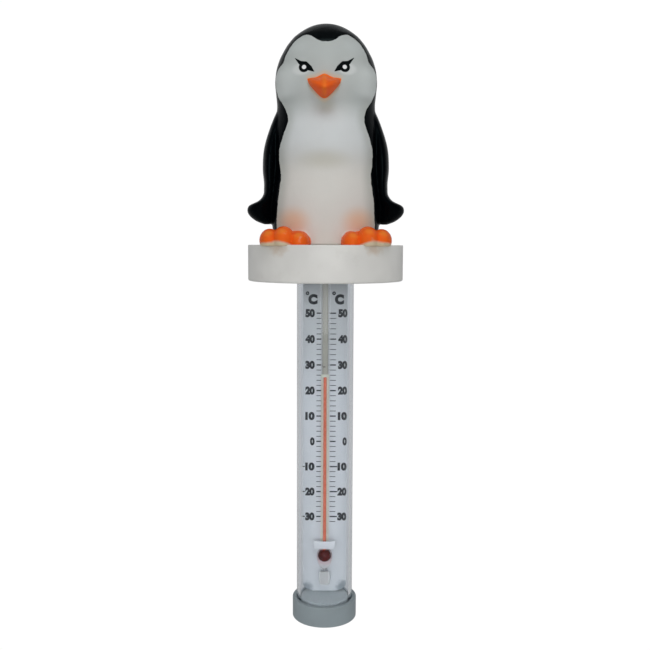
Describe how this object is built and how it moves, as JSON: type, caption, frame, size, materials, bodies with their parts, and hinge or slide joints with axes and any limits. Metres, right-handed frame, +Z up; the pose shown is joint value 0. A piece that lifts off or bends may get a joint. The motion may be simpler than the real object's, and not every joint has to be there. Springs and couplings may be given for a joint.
{
  "type": "floating pool thermometer",
  "caption": "Floating pool thermometer: a hollow penguin figure on a round float, above a clear tube with a scale card, a red-spirit thermometer and a weighted end cap.",
  "frame": {"origin": "on the tube's axis at the waterline, half way up the float disc", "axes": "+Z up along the tube's axis towards the figure's head; the figure and the printed side of the card face -Y; +X to the right seen from the front"},
  "size_m": [0.0546, 0.054, 0.209],
  "materials": {
    "figure_vinyl": "satin soft vinyl, white with black and orange paint",
    "float_plastic": "satin moulded white plastic",
    "hidden_plastic": "plain moulded white plastic inside the float and figure",
    "clear_plastic": "clear polished tube",
    "cap_plastic": "blue-grey moulded plastic, satin",
    "card_plastic": "printed plastic card, pale cool white with dark scale",
    "thermometer_glass": "polished glass",
    "red_spirit": "red dyed spirit",
    "clip_plastic": "white moulded plastic",
    "seal_rubber": "black rubber",
    "pad_foam": "grey closed-cell foam",
    "ballast_steel": "plain turned steel"
  },
  "bodies": {
    "root": {"penguin_shell": "figure_vinyl", "figure_base_plug": "hidden_plastic", "float_disc_shell": "float_plastic", "float_disc_cover": "float_plastic", "tube_socket": "hidden_plastic", "socket_seal": "seal_rubber", "clear_tube": "clear_plastic", "tube_top_plug": "hidden_plastic", "scale_card": "card_plastic", "upper_stem_clip": "clip_plastic", "lower_stem_clip": "clip_plastic", "bulb_rest": "clip_plastic", "thermometer_glass": "thermometer_glass", "spirit_bulb_fill": "red_spirit", "spirit_column": "red_spirit"},
    "spirit_top": {"spirit_meniscus": "red_spirit"},
    "cap": {"end_cap": "cap_plastic", "cap_seal": "seal_rubber", "ballast_weight": "ballast_steel", "ballast_pad": "pad_foam"}
  },
  "joints": [
    {"name": "spirit_rise", "type": "slide", "parent": "root", "child": "spirit_top", "axis": [0, 0, 1], "range_m": [-0.0517, 0.02242], "deforming": ["spirit_column"]},
    {"name": "cap_pull", "type": "slide", "parent": "root", "child": "cap", "axis": [0, 0, -1], "range_m": [0, 0.012]}
  ]
}
